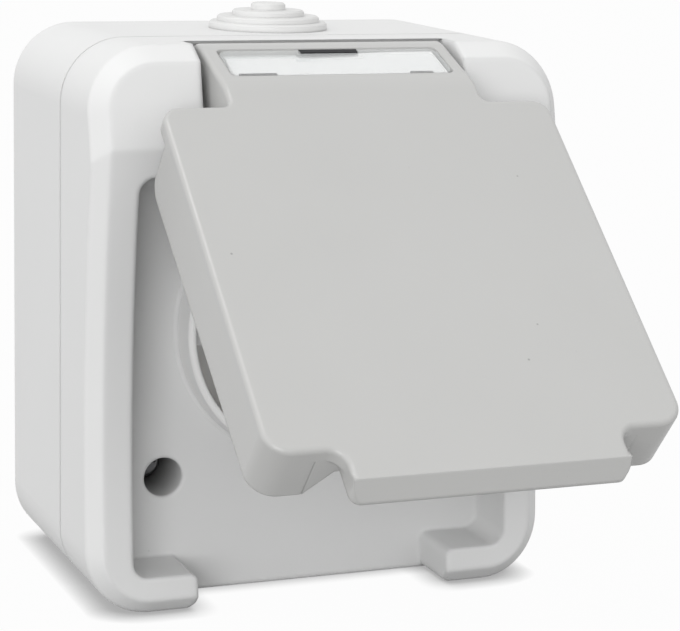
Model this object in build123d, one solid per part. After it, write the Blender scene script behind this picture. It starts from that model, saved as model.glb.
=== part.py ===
from build123d import *
import os
from math import cos, radians, sin, sqrt, tan

# Outdoor surface-mounted socket outlet with a hinged weather lid, in millimetres.
# The origin is the centre of the flat back that lies on the wall, +Z is up and the
# front looks along -Y. A depth is a distance from the wall, so depth d is y = -d.

# Housing outline
width = 75.0
height = 85.6
corner_radius = 9.8
wall = 2.2
back_wall = 2.4
box_depth = 28.6

# Joint between the rear box and the front cover
seam_gap = 0.3
lip_thickness = 1.0
lip_height = 2.0
lip_lead = 0.5
gasket_thickness = 1.0
seat_clearance = 0.1

# Front cover: rails, feet, recess and plate, with rises counted from the rear box's edge
rail_rise = 16.0
rail_radius = 235.0
rail_low_drop = 55.8
rail_width = 6.8
bevel_in = 2.3
rail_bevel_back = 2.4
recess_top_drop = 18.7
recess_top_corner = 2.6
recess_foot_corner = 2.4
foot_height = 5.8
foot_length = 10.1
foot_corner = 1.2
foot_toe_round = 1.6
plate_rise = 7.0
plate_thickness = 2.0
front_wall = 2.2

# Front cover: the visor above the recess
ridge_drop = 14.6
ridge_round = 0.9
visor_tilt = 13.0
visor_bevel_back = 3.2

# Hinge
hinge_over_plate = 3.8
hinge_drop = 5.2
hinge_side_gap = 1.2
hinge_boss_radius = 3.4
hinge_boss_length = 4.2
pin_radius = 1.25
pin_hold = 5.0
pin_engage = 3.2
pin_press_clearance = 0.02
pin_running_clearance = 0.06
barrel_radius = 5.0
barrel_clearance = 0.6
hinge_mouth = 2.0

# Lid
lid_rest_angle = 49.9
lid_lean = 1.8
lid_rise = 18.2
lid_gap = 0.45
lid_floor_gap = 0.36
lid_thickness = 2.4
lid_wall = 1.8
lid_notch = 5.2
lid_top_corner = 2.8
lid_bottom_corner = 3.8
lid_edge_round = 0.8
wing_sweep_clearance = 0.35
tongue_width = 39.6
tongue_tilt = 18.5
tongue_bend = 8.0
tongue_root = 2.2
arm_thickness = 2.0
hook_end_angle = 195.0
lip_gap = 0.7
lip_bevel_drop = 1.7
lip_bevel_back = 2.9
lip_rear = 3.4
lip_root_round = 2.4
lip_end_round = 1.5
skirt_corner = 2.5
skirt_end_gap = 2.4
skirt_end_round = 1.5
skirt_return = 4.0
skirt_web = 2.6

# Label window in the tongue
window_side_margin = 2.3
window_height = 8.1
window_top_gap = 1.0
window_thickness = 1.0
window_clearance = 0.12
window_corner = 0.8
window_slot_width = 9.2
window_slot_height = 1.1
window_lug_width = 1.6
window_lug_height = 0.5
window_lug_pitch = 10.5
window_lugs = 4
card_thickness = 0.3
card_margin = 0.4

# Socket insert: plug well, floor and collar
well_centre = -1.0
well_radius = 19.6
well_wall = 1.4
well_depth = 19.1
well_floor = 2.0
collar_height = 5.2
collar_taper = 0.3
collar_chamfer = 0.45
collar_clearance = 0.08
flange_width = 1.8
flange_thickness = 1.6
pin_hole_radius = 2.6
pin_spacing = 19.0
key_width = 4.4
key_height = 1.7
key_setback = 2.0
ear_reach = 7.0
ear_radius = 4.0
ear_thickness = 2.4
ear_setback = 5.6

# Contacts behind the well floor
carrier_width = 37.0
carrier_height = 33.0
carrier_depth = 13.0
carrier_corner = 4.0
chamber_width = 9.0
chamber_floor = 2.0
leaf_thickness = 0.6
leaf_width = 6.6
leaf_clearance = 0.05
terminal_width = 7.0
terminal_height = 7.0
terminal_offset = 10.4
terminal_chamfer = 0.3
wire_hole_radius = 1.4
wire_hole_length = 6.9
terminal_screw_radius = 1.3
terminal_head_radius = 2.0
terminal_head_height = 1.5
terminal_screw_length = 4.4
earth_terminal_inset = 7.5
earth_width = 6.0
earth_thickness = 0.8
earth_leg_gap = 2.4
earth_bulge = 1.6
earth_leg_setback = 5.6
earth_slot_clearance = 0.25
support_rib_inset = 3.5
support_rib_width = 2.0
support_rib_length = 20.0

# Screws
cover_screw_side_margin = 7.7
cover_screw_foot_margin = 12.7
cover_screw_top_margin = 6.5
screw_well_radius = 3.1
screw_well_wall = 1.6
screw_well_depth = 13.0
screw_well_floor = 2.0
screw_head_radius = 2.7
screw_head_height = 2.2
screw_head_chamfer = 0.5
screw_tip_chamfer = 0.5
screw_shank_radius = 1.5
screw_hole_clearance = 0.15
cover_screw_length = 15.0
insert_screw_length = 12.0
boss_wall = 2.2
slot_width = 0.8
slot_depth = 0.9
driver_radius = 1.9
seal_height = 0.8

# Cable entries and wall fixing
grommet_front_gap = 3.0
grommet_hole_radius = 7.6
grommet_radius = 9.4
grommet_ring_inset = 1.25
grommet_cap_inset = 3.65
grommet_nipple_inset = 6.65
grommet_flange_height = 1.2
grommet_step_height = 0.9
grommet_nipple_height = 1.1
grommet_wall = 0.9
grommet_side_wall = 1.35
grommet_inner_radius = 8.6
grommet_inner_height = 1.2
grommet_edge = 0.3
knockout_radius = 9.4
knockout_groove = 0.7
knockout_groove_depth = 0.6
fixing_edge = 9.8
fixing_radius = 2.3
fixing_boss_radius = 4.6
fixing_boss_height = 1.4

# Lid seal
lid_rib_inset = 0.9
lid_rib_width = 2.8
lid_seal_thickness = 1.6
lid_seal_clearance = 0.35

# Derived places of the housing
top = height / 2
bottom = -height / 2
cover_start = box_depth + seam_gap
plate_depth = box_depth + plate_rise
plate_back = plate_depth - plate_thickness
rail_depth = box_depth + rail_rise
hollow_depth = rail_depth - front_wall
ridge_z = top - ridge_drop
rail_low = top - rail_low_drop
recess_width = width - 2 * rail_width
recess_top = top - recess_top_drop
foot_gap = recess_width - 2 * foot_length
foot_top = bottom + foot_height
far_front = 2 * rail_depth
hinge_depth = plate_depth + hinge_over_plate
hinge_z = top - hinge_drop
hinge_gap_width = tongue_width + 2 * hinge_side_gap
pocket_radius = barrel_radius + barrel_clearance
screw_seat = plate_depth - screw_well_depth
screw_post_front = screw_seat - screw_well_floor
grommet_depth = box_depth - grommet_front_gap - grommet_radius

# Derived places of the socket insert and its contacts
well_outer = well_radius + well_wall
rim_depth = plate_depth + collar_height
floor_depth = rim_depth - well_depth
flange_front = plate_back - seat_clearance
ear_front = plate_depth - ear_setback
ear_seat = ear_front - ear_thickness
carrier_front = floor_depth - well_floor
carrier_back = carrier_front - carrier_depth
chamber_back = carrier_back + chamber_floor
contact_front = carrier_front - seat_clearance
earth_leg_radius = well_radius - earth_leg_gap
screw_bore = screw_shank_radius + screw_hole_clearance
earth_terminal_x = carrier_width / 2 - earth_terminal_inset

# Derived places of the lid, closed and upright, before the lean and the opening are applied
lean_slope = tan(radians(lid_lean))
lid_front = box_depth + lid_rise + lean_slope * hinge_z
lid_inner = lid_front - lid_thickness
lid_sink = lean_slope * (lid_front - hinge_depth)
lid_top = recess_top - lid_gap + lid_sink
lid_bottom = foot_top + lid_gap + lid_sink
lid_rear = plate_depth + lean_slope * (hinge_z - lid_bottom) + lid_floor_gap
lid_width = recess_width - 2 * lid_gap
lip_width = foot_gap - 2 * lip_gap
lip_bevel_z = bottom + lip_bevel_drop
lid_rib_radius = well_radius - lid_rib_inset
window_width = tongue_width - 2 * window_side_margin

# Side view: first coordinate is the depth, second is the height
SIDE = Plane(origin=(0, 0, 0), x_dir=(0, -1, 0), z_dir=(-1, 0, 0))


def front_plane(depth):
    """Plane parallel to the wall at a depth, looking out of the wall."""
    return Plane.XZ.offset(depth)


def slab(sketch, near, far):
    """Extrude a front-view sketch from one depth to another."""
    return extrude(front_plane(near) * sketch, far - near)


def box_at(x0, x1, near, far, z0, z1):
    """Box between two x values, two depths and two heights."""
    return slab(flat(x0, x1, z0, z1), near, far)


def rod(x, z, radius, near, far):
    """Round rod that points out of the wall."""
    return slab(Pos(x, z) * Circle(radius), near, far)


def cross_rod(radius, x0, x1, depth=hinge_depth, z=hinge_z):
    """Round rod that lies along X."""
    return Pos((x0 + x1) / 2, -depth, z) * Rot(Y=90) * Cylinder(radius, x1 - x0)


def side_prism(points, x0, x1):
    """Extrude a closed side-view polygon between two x values."""
    face = make_face(Polyline(*points, close=True))
    return Pos((x0 + x1) / 2) * extrude(SIDE * face, (x1 - x0) / 2, both=True)


def plan_prism(points, z0, z1):
    """Solid over a top-view outline of (x, depth) points, between two heights."""
    outline_points = [(x, -depth) for x, depth in points]
    return Pos(0, 0, z0) * extrude(make_face(Polyline(*outline_points, close=True)), z1 - z0)


def stretch(side, inner, outer):
    """Low and high end of a stretch on one side of the middle, given as -1 or 1."""
    return sorted((side * inner, side * outer))


def outline(inset=0.0):
    """Rounded rectangle of the housing, moved inwards by an inset."""
    return RectangleRounded(width - 2 * inset, height - 2 * inset, corner_radius - inset)


def flat(x0, x1, z0, z1):
    """Front-view rectangle between two x values and two heights."""
    return Pos((x0 + x1) / 2, (z0 + z1) / 2) * Rectangle(x1 - x0, z1 - z0)


def inner_corners(shape, z):
    """The two vertices at a height that lie nearest to the middle."""
    level = shape.vertices().group_by(lambda vertex: abs(vertex.Y - z))[0]
    return level.sort_by(lambda vertex: abs(vertex.X))[:2]


def rail_at(z):
    """Depth of the rails' hollow-curved front at a height."""
    return rail_depth + rail_radius - sqrt(rail_radius ** 2 - (z - rail_low) ** 2)


def screw_places():
    """The two cover screws sit in opposite corners of the recess."""
    x = recess_width / 2 - cover_screw_side_margin
    return ((-x, foot_top + cover_screw_foot_margin), (x, recess_top - cover_screw_top_margin))


def ear_places():
    """The insert's two ears, left and right of the plug well."""
    x = well_outer + ear_reach
    return ((-x, well_centre), (x, well_centre))


def cross_screw(x, z, seat, length):
    """Cheese-head screw with a cross recess: its head is on a seat depth, its shank points to the wall."""
    crown = seat + screw_head_height
    head = rod(x, z, screw_head_radius, seat, crown)
    head = chamfer(head.faces().sort_by(Axis.Y)[0].edges(), screw_head_chamfer)
    shank = rod(x, z, screw_shank_radius, seat - length, seat)
    shank = chamfer(shank.faces().sort_by(Axis.Y)[-1].edges(), screw_tip_chamfer)
    cross = Rectangle(2 * driver_radius, slot_width) + Rectangle(slot_width, 2 * driver_radius)
    return head + shank - slab(Pos(x, z) * cross, crown - slot_depth, crown)


# Rear box
def rear_box():
    """Tray that is screwed to the wall, with a lip that enters the cover."""
    lip_front = box_depth + lip_height
    shell = slab(outline(), 0, box_depth)
    shell += slab(outline(wall - lip_thickness), box_depth - wall, lip_front)
    shell -= slab(outline(wall), back_wall, lip_front)
    shell = chamfer(shell.faces().sort_by(Axis.Y)[-1].outer_wire().edges(), lip_lead)
    posts = [(x, z, screw_post_front - seat_clearance) for x, z in screw_places()]
    posts += [(x, z, ear_seat) for x, z in ear_places()]
    for x, z, front in posts:
        shell += rod(x, z, screw_shank_radius + boss_wall, 0, front)
        shell -= rod(x, z, screw_bore, back_wall, front)
    half = support_rib_length / 2
    rib_outer = carrier_width / 2 - support_rib_inset
    for side in (-1, 1):
        ends = stretch(side, rib_outer - support_rib_width, rib_outer)
        shell += box_at(*ends, 0, carrier_back, well_centre - half, well_centre + half)
        fixing_z = side * (top - fixing_edge)
        shell += rod(0, fixing_z, fixing_boss_radius, 0, back_wall + fixing_boss_height)
        shell -= rod(0, fixing_z, fixing_radius, 0, back_wall + fixing_boss_height)
    shell -= Pos(0, -grommet_depth, top) * Cylinder(grommet_hole_radius, 4 * wall)
    ring = Cylinder(knockout_radius, 2 * knockout_groove_depth)
    ring -= Cylinder(knockout_radius - knockout_groove, 2 * knockout_groove_depth)
    return shell - Pos(0, -grommet_depth, bottom) * ring


# Gasket between box and cover
def box_gasket():
    """Flat rubber ring on the tip of the box's lip."""
    start = box_depth + lip_height
    ring = slab(outline(wall - lip_thickness), start, start + gasket_thickness)
    return ring - slab(outline(wall), start, start + gasket_thickness)


# Front cover
def rail_body():
    """Body with a hollow-curved front and a wide bevel round its edge."""
    body = slab(outline(), cover_start, far_front)
    body -= cross_rod(rail_radius, -width, width, rail_depth + rail_radius, rail_low)
    face = body.faces().sort_by(Axis.Y)[0]
    return chamfer(face.edges(), bevel_in, rail_bevel_back, reference=face)


def visor_body():
    """The same outline under the visor's tilted front, with a deeper bevel."""
    tilt = radians(visor_tilt)
    ridge_depth = rail_at(ridge_z)
    body = slab(outline(), cover_start, far_front)
    low = (ridge_depth + tan(tilt) * (ridge_z + height), -height)
    high = (ridge_depth + tan(tilt) * (ridge_z - height), height)
    body -= side_prism([low, (2 * far_front, -height), (2 * far_front, height), high], -width, width)
    tilted = Plane(origin=(0, 0, 0), z_dir=(0, -cos(tilt), sin(tilt)))
    face = body.faces().filter_by(tilted).sort_by(Axis.Y)[0]
    return chamfer(face.edges(), bevel_in, visor_bevel_back, reference=face)


def t_pocket():
    """Room for the closed lid: recess, finger gap below it, hinge gap and round barrel pocket above it."""
    shape = flat(-recess_width / 2, recess_width / 2, foot_top, recess_top)
    shape = fillet(shape.vertices().group_by(Axis.Y)[0], recess_foot_corner)
    shape = fillet(shape.vertices().group_by(Axis.Y)[-1], recess_top_corner)
    shape += flat(-foot_gap / 2, foot_gap / 2, bottom, foot_top)
    shape += flat(-width, width, -height, bottom)
    shape = fillet(inner_corners(shape, bottom), foot_toe_round)
    shape = fillet(inner_corners(shape, foot_top), foot_corner)
    room = slab(shape, plate_depth, far_front)
    half = hinge_gap_width / 2
    room += box_at(-half, half, plate_depth, far_front, recess_top - recess_top_corner, hinge_z)
    room += box_at(-half, half, hinge_depth - hinge_mouth, far_front, hinge_z, height)
    return room + cross_rod(pocket_radius, -half, half)


def cover_hollow():
    """Hollow of the moulding behind the plate, in the rails and in the visor block."""
    inner = outline(wall)
    block_x = hinge_gap_width / 2 + wall
    rail_x = recess_width / 2 + plate_thickness
    room = slab(inner, cover_start, plate_back)
    pocket_back = hinge_depth - pocket_radius - plate_thickness
    room -= box_at(-block_x, block_x, pocket_back, plate_back, recess_top - plate_thickness, top)
    deep = slab(inner, plate_back, hollow_depth)
    rails = box_at(-width, width, plate_back, hollow_depth, foot_top, recess_top)
    rails -= box_at(-rail_x, rail_x, plate_back, hollow_depth, foot_top, recess_top)
    blocks = box_at(-width, width, plate_back, hollow_depth, recess_top + plate_thickness, top)
    blocks -= box_at(-block_x, block_x, plate_back, hollow_depth, recess_top, top)
    return room + (deep & (rails + blocks))


def front_cover():
    """Moulded hood: body, visor, T-shaped recess, hinge bosses, screw wells and collar hole."""
    cover = rail_body() & visor_body()
    ridge = cover.edges().filter_by(Axis.X).group_by(lambda edge: abs(edge.center().Z - ridge_z))[0]
    cover = fillet(ridge, ridge_round)
    cover -= cover_hollow()
    block_x = hinge_gap_width / 2
    for side in (-1, 1):
        cover += cross_rod(hinge_boss_radius, *stretch(side, block_x, block_x + hinge_boss_length))
    cover -= t_pocket()
    for side in (-1, 1):
        bore = stretch(side, 0, block_x + pin_engage + seat_clearance)
        cover -= cross_rod(pin_radius + pin_running_clearance, *bore)
    rebate_front = box_depth + lip_height + gasket_thickness
    cover -= slab(outline(wall - lip_thickness - seat_clearance), box_depth, rebate_front)
    for x, z in screw_places():
        cover += rod(x, z, screw_well_radius + screw_well_wall, screw_post_front, plate_back)
        cover -= rod(x, z, screw_well_radius, screw_seat, plate_depth)
        cover -= rod(x, z, screw_bore, screw_post_front, plate_depth)
    return cover - rod(0, well_centre, well_outer + collar_clearance, box_depth, plate_depth)


def cover_screws():
    """Two screws in the wells of the plate."""
    seat = screw_seat + seal_height
    return [cross_screw(x, z, seat, cover_screw_length) for x, z in screw_places()]


def screw_seals():
    """Rubber washer under each cover screw's head."""
    ring = Circle(screw_head_radius) - Circle(screw_bore)
    return [slab(Pos(x, z) * ring, screw_seat, screw_seat + seal_height) for x, z in screw_places()]


# Cable grommet in the top
def stepped(radii, levels, start):
    """Turned body of round steps, from a start height up through each level."""
    points = [(0, start)]
    height_now = start
    for radius, level in zip(radii, levels):
        points += [(radius, height_now), (radius, level)]
        height_now = level
    points.append((0, height_now))
    return revolve(Plane.XZ * make_face(Polyline(*points, close=True)), Axis.Z)


def top_grommet():
    """Stepped rubber membrane that snaps into the hole in the top wall."""
    insets = (0, grommet_ring_inset, grommet_cap_inset, grommet_nipple_inset)
    radii = [grommet_radius - inset for inset in insets]
    steps = [grommet_flange_height + step * grommet_step_height for step in range(len(insets) - 1)]
    steps.append(steps[-1] + grommet_nipple_height)
    rings = stepped(radii, steps, 0)
    crowns = [face for face in rings.faces().filter_by(Axis.Z) if face.normal_at().Z > 0]
    rings = chamfer([edge for face in crowns for edge in face.outer_wire().edges()], grommet_edge)
    neck = Pos(0, 0, -wall / 2) * Cylinder(grommet_hole_radius - seat_clearance, wall)
    inner_z = -wall - grommet_inner_height / 2
    inside = Pos(0, 0, inner_z) * Cylinder(grommet_inner_radius, grommet_inner_height)
    rooms = [min(radius, grommet_hole_radius) - grommet_side_wall for radius in radii[1:]]
    ceilings = [step - grommet_wall for step in steps[:-1]]
    hollow = stepped(rooms, ceilings, -wall - 2 * grommet_inner_height)
    return Pos(0, -grommet_depth, top) * (rings + neck + inside - hollow)


# Socket insert
def well_ring(inner, outer, near, far):
    """Ring about the plug well's axis."""
    return rod(0, well_centre, outer, near, far) - rod(0, well_centre, inner, near, far)


def earth_slot(side):
    """Slot in the well for one leg of the earth clip."""
    half = earth_width / 2 + earth_slot_clearance
    inner = earth_leg_radius - earth_thickness - earth_slot_clearance
    outer = earth_leg_radius + earth_slot_clearance
    low, high = stretch(side, inner, outer)
    return box_at(-half, half, carrier_front, floor_depth, well_centre + low, well_centre + high)


def plug_key(side):
    """Rib on one side of the well that guides the plug."""
    ends = stretch(side, well_radius - key_height, well_radius + well_wall / 2)
    half = key_width / 2
    near = floor_depth - well_floor / 2
    return box_at(*ends, near, rim_depth - key_setback, well_centre - half, well_centre + half)


def socket_insert():
    """Cup that takes the plug: collar, flange with two ears, keys and pierced floor."""
    cup = rod(0, well_centre, well_outer, carrier_front, plate_depth)
    foot = front_plane(plate_depth) * (Pos(0, well_centre) * Circle(well_outer))
    rim = front_plane(rim_depth) * (Pos(0, well_centre) * Circle(well_outer - collar_taper))
    cup += loft([foot.face(), rim.face()])
    cup = chamfer(cup.faces().sort_by(Axis.Y)[0].edges(), collar_chamfer)
    for x, z in ear_places():
        cup += box_at(*sorted((0, x)), ear_seat, ear_front, z - ear_radius, z + ear_radius)
        cup += rod(x, z, ear_radius, ear_seat, ear_front)
        cup -= rod(x, z, screw_bore, ear_seat, ear_front)
    cup += rod(0, well_centre, well_outer + flange_width, flange_front - flange_thickness, flange_front)
    cup -= rod(0, well_centre, well_radius, floor_depth, rim_depth)
    for side in (-1, 1):
        cup += plug_key(side)
        cup -= rod(side * pin_spacing / 2, well_centre, pin_hole_radius, carrier_front, floor_depth)
        cup -= earth_slot(side)
    return cup


def insert_screws():
    """Two screws that hold the insert's ears on the box's posts."""
    return [cross_screw(x, z, ear_front, insert_screw_length) for x, z in ear_places()]


# Contacts
def terminal_places():
    """x, z and the side that the clamping screw comes from: line, neutral and earth."""
    low = well_centre - terminal_offset
    high = well_centre + terminal_offset
    return ((-pin_spacing / 2, low, -1), (pin_spacing / 2, low, -1), (earth_terminal_x, high, 1))


def contact_carrier():
    """Insulating block behind the well floor, with an open chamber for each contact."""
    shape = Pos(0, well_centre) * RectangleRounded(carrier_width, carrier_height, carrier_corner)
    block = slab(shape, carrier_back, carrier_front)
    half = chamber_width / 2
    for x, z, side in terminal_places():
        inner = z - half if side > 0 else well_centre + half
        block -= box_at(x - half, x + half, chamber_back, carrier_front, *sorted((inner, side * height)))
        block -= rod(x, z, wire_hole_radius + seat_clearance, carrier_back, chamber_back)
    for side in (-1, 1):
        block -= rod(side * pin_spacing / 2, well_centre, pin_hole_radius, carrier_back, chamber_back)
    slot = earth_width / 2 + earth_slot_clearance
    block -= box_at(-slot, slot, chamber_back, carrier_front, -height, height)
    arm_z = well_centre + terminal_offset
    arm_front = chamber_back + earth_thickness + seat_clearance
    return block - box_at(0, earth_terminal_x, chamber_back, arm_front, arm_z - slot, arm_z + slot)


def tulip(side):
    """Sprung contact: two leaves beside the plug pin and a strip that runs down to the terminal."""
    x = side * pin_spacing / 2
    low = well_centre - leaf_width / 2
    high = well_centre + leaf_width / 2
    inner = pin_hole_radius + leaf_clearance
    outer = inner + leaf_thickness
    strip_front = chamber_back + leaf_thickness
    foot = well_centre - terminal_offset - terminal_height / 2
    contact = box_at(x - outer, x + outer, chamber_back, strip_front, foot, high)
    contact -= rod(x, well_centre, pin_hole_radius, chamber_back, strip_front)
    contact -= rod(x, well_centre - terminal_offset, wire_hole_radius, chamber_back, strip_front)
    for leaf in (-1, 1):
        near, far = stretch(leaf, inner, outer)
        contact += box_at(x + near, x + far, chamber_back, contact_front, low, high)
    return contact


def terminal(place, strip):
    """Brass block on its contact strip, with a wire hole from behind and a screw hole."""
    x, z, side = place
    near = chamber_back + strip
    half = terminal_width / 2
    end = terminal_height / 2
    block = box_at(x - half, x + half, near, contact_front, z - end, z + end)
    block = chamfer(block.edges(), terminal_chamfer)
    block -= rod(x, z, wire_hole_radius, near, near + wire_hole_length)
    reach = terminal_screw_length + seat_clearance
    bore = Cylinder(terminal_screw_radius + pin_running_clearance, 2 * reach)
    return block - Pos(x, -(near + contact_front) / 2, z + side * end) * bore


def terminal_screw(place, strip):
    """Clamping screw in the end of a terminal."""
    x, z, side = place
    depth = (chamber_back + strip + contact_front) / 2
    end = z + side * terminal_height / 2
    crown = end + side * terminal_head_height
    screw = Pos(x, -depth, end - side * terminal_screw_length / 2) * Cylinder(
        terminal_screw_radius, terminal_screw_length)
    screw += Pos(x, -depth, (end + crown) / 2) * Cylinder(terminal_head_radius, terminal_head_height)
    return screw - Pos(x, -depth, crown) * Box(2 * terminal_head_radius, slot_width, slot_depth)


def earth_leg(side):
    """Sprung leg of the earth clip: straight through the well floor, then bowed into the well."""
    tip = rim_depth - earth_leg_setback
    knee = (floor_depth + tip) / 2
    bends = [(chamber_back, 0), (floor_depth, 0), (knee, earth_bulge), (tip, 0)]
    outer = [(depth, well_centre + side * (earth_leg_radius - bow)) for depth, bow in bends]
    inner = [(depth, z - side * earth_thickness) for depth, z in reversed(outer)]
    return side_prism(outer + inner, -earth_width / 2, earth_width / 2)


def earth_clip():
    """Folded strip: a back, two sprung legs that enter the well, and an arm to its terminal."""
    strip_front = chamber_back + earth_thickness
    half = earth_width / 2
    low = well_centre - earth_leg_radius
    high = well_centre + earth_leg_radius
    clip = box_at(-half, half, chamber_back, strip_front, low, high)
    clip += earth_leg(-1) + earth_leg(1)
    x, z, _ = terminal_places()[2]
    clip += box_at(0, x + terminal_width / 2, chamber_back, strip_front, z - half, z + half)
    return clip - rod(x, z, wire_hole_radius, chamber_back, strip_front)


# Lid
def opened(part):
    """Swing a lid piece from the upright closed place to where it rests."""
    return Pos(0, -hinge_depth, hinge_z) * Rot(X=-lid_rest_angle) * Pos(0, hinge_depth, -hinge_z) * part


def tongue_line(inset):
    """Side line of the tongue, moved inwards by an inset: hook round the hinge, tilted face and bend."""
    lean = radians(tongue_tilt)
    radius = barrel_radius - inset
    face_top = Vector(hinge_depth + radius * cos(lean), hinge_z + radius * sin(lean))
    fall = (lid_front - inset - face_top.X) / tan(lean)
    corner = Vector(lid_front - inset, face_top.Y - fall)
    foot = Vector(lid_front - inset, lid_top - tongue_root)
    hook = CenterArc((hinge_depth, hinge_z), radius, tongue_tilt, hook_end_angle - tongue_tilt)
    return hook, FilletPolyline(face_top, corner, foot, radius=tongue_bend - inset)


def edges_along(part, curves, x):
    """Edges of a part that follow side-view curves at an x value."""
    middles = [edge @ 0.5 for curve in curves for edge in curve.edges()]
    return [part.edges().sort_by_distance((x, -middle.X, middle.Y))[0] for middle in middles]


def tongue():
    """Curved plate from the hinge to the lid, with an arm and a pin boss at each side."""
    half = tongue_width / 2
    outer = tongue_line(0)
    inner = tongue_line(lid_thickness)
    ends = (Line(outer[0] @ 1, inner[0] @ 1), Line(outer[1] @ 1, inner[1] @ 1))
    plate = extrude(SIDE * make_face([*outer, *inner, *ends]), half, both=True)
    foot = outer[1] @ 1
    rear = Polyline(foot, (lid_rear, foot.Y), (lid_rear, hinge_z - barrel_radius), outer[0] @ 1)
    arm = extrude(SIDE * make_face([*outer, rear]), arm_thickness / 2, both=True)
    for side in (-1, 1):
        plate += Pos(side * (half - arm_thickness / 2)) * arm
        plate = fillet(edges_along(plate, outer, side * half), lid_edge_round)
        plate += cross_rod(hinge_boss_radius, *stretch(side, half - pin_hold, half))
    return plate


def window_plane():
    """Plane on the tongue's tilted face, centred on the label window, with y up the face."""
    lean = radians(tongue_tilt)
    fall = window_top_gap + window_height / 2
    depth = hinge_depth + barrel_radius * cos(lean) + fall * sin(lean)
    z = hinge_z + barrel_radius * sin(lean) - fall * cos(lean)
    return Plane(origin=(0, -depth, z), x_dir=(1, 0, 0), z_dir=(0, -cos(lean), sin(lean)))


def window_outline(grow=0.0):
    """Rounded rectangle of the label window."""
    return RectangleRounded(window_width + 2 * grow, window_height + 2 * grow, window_corner + grow)


def lift_slot():
    """Front view, on the window's plane, of the slot at its upper edge."""
    drop = (window_height - window_slot_height) / 2
    return Pos(0, drop) * Rectangle(window_slot_width, window_slot_height)


def tray_outline():
    """Front view of the lid's tray between the tongue and the finger lip."""
    shape = flat(-lid_width / 2, lid_width / 2, lid_bottom, lid_top)
    shape = fillet(shape.vertices().group_by(Axis.Y)[0], lid_bottom_corner)
    return fillet(shape.vertices().group_by(Axis.Y)[-1], lid_top_corner)


def lid_plate():
    """Front plate of the lid in one outline with the roots of the tongue and of the finger lip."""
    root_top = lid_top + tongue_root
    shape = tray_outline()
    shape += flat(-tongue_width / 2, tongue_width / 2, lid_top, root_top)
    shape += flat(-lip_width / 2, lip_width / 2, lip_bevel_z, lid_bottom)
    shape = fillet(inner_corners(shape, lid_top), hinge_side_gap)
    shape = fillet(inner_corners(shape, lid_bottom), lip_root_round)
    plate = slab(shape, lid_inner, lid_front)
    rim = plate.faces().sort_by(Axis.Y)[0].edges().sort_by(Axis.Z)[1:-1]
    return fillet(rim, lid_edge_round)


def skirt():
    """Wall round the tray: level with the cover's plate when shut, turned in beside the finger lip."""
    gap = lip_width / 2 + skirt_end_gap
    shape = tray_outline() - offset(tray_outline(), -lid_wall)
    for side in (-1, 1):
        shape += flat(*stretch(side, gap, gap + lid_wall), lid_bottom, lid_bottom + skirt_return)
    shape -= flat(-gap, gap, lid_bottom, lid_bottom + lid_wall)
    shape = fillet(inner_corners(shape, lid_bottom), skirt_end_round)
    walls = slab(shape, 0, lid_inner)
    walls -= box_at(-lid_width, lid_width, 0, lid_inner, lid_top - lid_notch, lid_top)
    low = (lid_rear + lean_slope * (lid_bottom + height), -height)
    high = (lid_rear + lean_slope * (lid_bottom - height), height)
    walls -= side_prism([(0, -height), low, high, (0, height)], -width, width)
    tops = walls.edges().filter_by(Axis.X).group_by(Axis.Z)[-1].sort_by(Axis.Y)[-2:]
    walls = fillet(tops, skirt_corner)
    start = lip_width / 2 - lid_wall
    for side in (-1, 1):
        web = [(start, lid_inner), (start, lid_inner - skirt_web), (lip_width / 2, lid_inner - skirt_web)]
        web += [(gap + lid_wall / 2, lid_rear), (gap + lid_wall / 2, lid_inner)]
        turned = [(side * x, depth) for x, depth in web]
        walls += plan_prism(turned, lid_bottom, lid_bottom + lid_wall)
    return walls


def tray():
    """Plate and skirt, with the wings' upper edges cut back to swing clear of the recess."""
    body = lid_plate() + skirt()
    edge = Vector(rail_at(recess_top) - hinge_depth, hinge_z - recess_top)
    sweep = edge.length + wing_sweep_clearance
    for side in (-1, 1):
        body -= cross_rod(sweep, *stretch(side, hinge_gap_width / 2 - lid_gap, lid_width))
    return body


def finger_lip():
    """Lip between the feet: bevelled foot of the lid's front with a wall at each end."""
    half = lip_width / 2
    rear = lid_front - lip_rear
    front = [(lid_front, lip_bevel_z), (lid_front - lip_bevel_back, bottom), (rear, bottom)]
    back = [(rear, bottom + lid_wall), (lid_inner, lip_bevel_z + lid_wall)]
    end_wall = [(rear, lid_bottom), (lid_inner, lid_bottom + lid_wall)]
    lip = side_prism(front + back, -half, half)
    for side in (-1, 1):
        lip += side_prism(front + end_wall, *stretch(side, half - lid_wall, half))
    shape = flat(-half, half, bottom, lid_top)
    shape = fillet(shape.vertices().group_by(Axis.Y)[0], lip_end_round)
    return lip & slab(shape, 0, lid_front)


def seal_depths():
    """Depths of the lid seal: clear of the collar when the lid leans into its closed place."""
    lowest = well_centre - lid_rib_radius - lid_rib_width
    near = rim_depth + lean_slope * (hinge_z - lowest) + lid_seal_clearance
    return near, near + lid_seal_thickness


def lid_ring(near, far):
    """Ring on the lid's inside, opposite the collar."""
    return well_ring(lid_rib_radius, lid_rib_radius + lid_rib_width, near, far)


def lid_shell():
    """Moulded lid: tray, tongue, finger lip, seal rib and label pocket."""
    lid = tray() + tongue() + finger_lip() + lid_ring(seal_depths()[1], lid_inner)
    half = tongue_width / 2
    for side in (-1, 1):
        lid -= cross_rod(pin_radius + pin_press_clearance, *stretch(side, half - pin_hold, half))
    pocket = extrude(window_plane() * window_outline(window_clearance), -window_thickness - card_thickness)
    slot = extrude(window_plane() * lift_slot(), -barrel_radius)
    return opened(lid - pocket - slot)


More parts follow.
